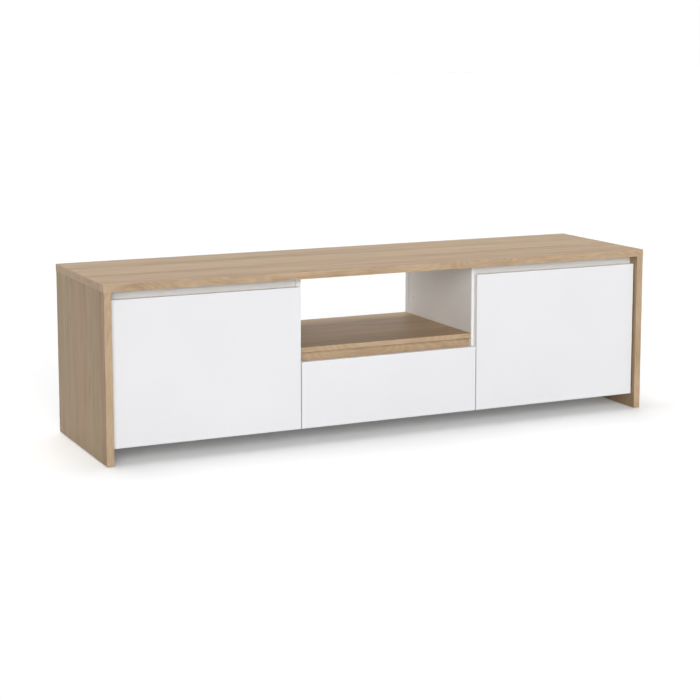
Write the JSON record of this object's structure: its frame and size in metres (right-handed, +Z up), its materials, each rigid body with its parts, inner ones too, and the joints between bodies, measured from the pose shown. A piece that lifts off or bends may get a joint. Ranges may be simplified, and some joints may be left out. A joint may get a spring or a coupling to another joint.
{
  "type": "tv stand with doors",
  "caption": "Low TV stand with an oak-decor carcass, white side-hinged doors, an open centre niche and a drawer on roller runners.",
  "frame": {"origin": "on the floor under the middle of the cabinet", "axes": "+X across the width, -Y out of the front, +Z up"},
  "size_m": [1.5, 0.4, 0.433],
  "materials": {
    "oak_decor": "light oak decor melamine, satin, with a fine pore texture",
    "white_front": "white melamine on chipboard, satin",
    "grey_board": "pale warm grey melamine on chipboard, satin",
    "hardboard": "hardboard, pale grey lacquered face, bare brown back",
    "drawer_foil": "off-white foil on chipboard, matt",
    "hinge_nickel": "nickel-plated pressed steel",
    "white_epoxy": "white epoxy-coated rolled steel",
    "nylon": "natural white nylon",
    "pin_zinc": "zinc-plated turned steel",
    "black_plastic": "black moulded plastic"
  },
  "bodies": {
    "carcass": {"top_panel": "oak_decor", "left_side_panel": "oak_decor", "right_side_panel": "oak_decor", "centre_shelf": "oak_decor", "centre_rail": "oak_decor", "bottom_panel": "grey_board", "left_partition": "grey_board", "left_grip_rail": "grey_board", "left_inner_shelf": "grey_board", "right_partition": "grey_board", "right_grip_rail": "grey_board", "right_inner_shelf": "grey_board", "left_back_panel": "hardboard", "centre_back_panel": "hardboard", "right_back_panel": "hardboard", "left_lower_hinge_arm": "hinge_nickel", "left_upper_hinge_arm": "hinge_nickel", "right_lower_hinge_arm": "hinge_nickel", "right_upper_hinge_arm": "hinge_nickel", "left_lower_hinge_plate": "hinge_nickel", "left_upper_hinge_plate": "hinge_nickel", "right_lower_hinge_plate": "hinge_nickel", "right_upper_hinge_plate": "hinge_nickel", "left_cabinet_runner": "white_epoxy", "right_cabinet_runner": "white_epoxy", "left_front_glide": "nylon", "left_back_glide": "nylon", "right_front_glide": "nylon", "right_back_glide": "nylon", "left_outer_front_pin": "pin_zinc", "left_outer_back_pin": "pin_zinc", "left_inner_front_pin": "pin_zinc", "left_inner_back_pin": "pin_zinc", "right_outer_front_pin": "pin_zinc", "right_outer_back_pin": "pin_zinc", "right_inner_front_pin": "pin_zinc", "right_inner_back_pin": "pin_zinc", "left_centre_foot": "black_plastic", "right_centre_foot": "black_plastic"},
    "left_door": {"left_door": "white_front", "left_lower_hinge_cup": "hinge_nickel", "left_upper_hinge_cup": "hinge_nickel"},
    "left_hinge_links": {"left_lower_hinge_link": "hinge_nickel", "left_upper_hinge_link": "hinge_nickel"},
    "right_door": {"right_door": "white_front", "right_lower_hinge_cup": "hinge_nickel", "right_upper_hinge_cup": "hinge_nickel"},
    "right_hinge_links": {"right_lower_hinge_link": "hinge_nickel", "right_upper_hinge_link": "hinge_nickel"},
    "drawer": {"drawer_front": "white_front", "drawer_left_side": "drawer_foil", "drawer_right_side": "drawer_foil", "drawer_back": "drawer_foil", "drawer_bottom": "hardboard", "left_drawer_runner": "white_epoxy", "right_drawer_runner": "white_epoxy"},
    "left_front_roller": {"left_front_roller": "nylon"},
    "left_rear_roller": {"left_rear_roller": "nylon"},
    "right_front_roller": {"right_front_roller": "nylon"},
    "right_rear_roller": {"right_rear_roller": "nylon"}
  },
  "joints": [
    {"name": "left_door_swing", "type": "hinge", "parent": "carcass", "child": "left_door", "pos_m": [-0.7275, -0.188, 0.217], "axis": [0, 0, -1], "range_deg": [0, 95]},
    {"name": "left_hinge_links_fold", "type": "hinge", "parent": "left_door", "child": "left_hinge_links", "pos_m": [-0.7145, -0.18, 0.22], "axis": [0, 0, 1], "range_deg": [0, 66]},
    {"name": "right_door_swing", "type": "hinge", "parent": "carcass", "child": "right_door", "pos_m": [0.7275, -0.188, 0.217], "axis": [0, 0, 1], "range_deg": [0, 95]},
    {"name": "right_hinge_links_fold", "type": "hinge", "parent": "right_door", "child": "right_hinge_links", "pos_m": [0.7145, -0.18, 0.22], "axis": [0, 0, -1], "range_deg": [0, 66]},
    {"name": "drawer_slide", "type": "slide", "parent": "carcass", "child": "drawer", "axis": [0, -1, 0], "range_m": [0, 0.26]},
    {"name": "left_front_roller_spin", "type": "hinge", "parent": "carcass", "child": "left_front_roller", "pos_m": [-0.2322, -0.158, 0.074], "axis": [1, 0, 0], "range_deg": [0, 1660]},
    {"name": "left_rear_roller_spin", "type": "hinge", "parent": "drawer", "child": "left_rear_roller", "pos_m": [-0.234, 0.158, 0.0735], "axis": [1, 0, 0], "range_deg": [0, 1660]},
    {"name": "right_front_roller_spin", "type": "hinge", "parent": "carcass", "child": "right_front_roller", "pos_m": [0.2322, -0.158, 0.074], "axis": [1, 0, 0], "range_deg": [0, 1660]},
    {"name": "right_rear_roller_spin", "type": "hinge", "parent": "drawer", "child": "right_rear_roller", "pos_m": [0.234, 0.158, 0.0735], "axis": [1, 0, 0], "range_deg": [0, 1660]}
  ],
  "couplings": [
    {"joint": "left_hinge_links_fold", "follows": "left_door_swing", "ratio": 0.678},
    {"joint": "right_hinge_links_fold", "follows": "right_door_swing", "ratio": 0.678},
    {"joint": "left_front_roller_spin", "follows": "drawer_slide", "rad_per_m": 111.11},
    {"joint": "left_rear_roller_spin", "follows": "drawer_slide", "rad_per_m": 111.11},
    {"joint": "right_front_roller_spin", "follows": "drawer_slide", "rad_per_m": 111.11},
    {"joint": "right_rear_roller_spin", "follows": "drawer_slide", "rad_per_m": 111.11}
  ]
}
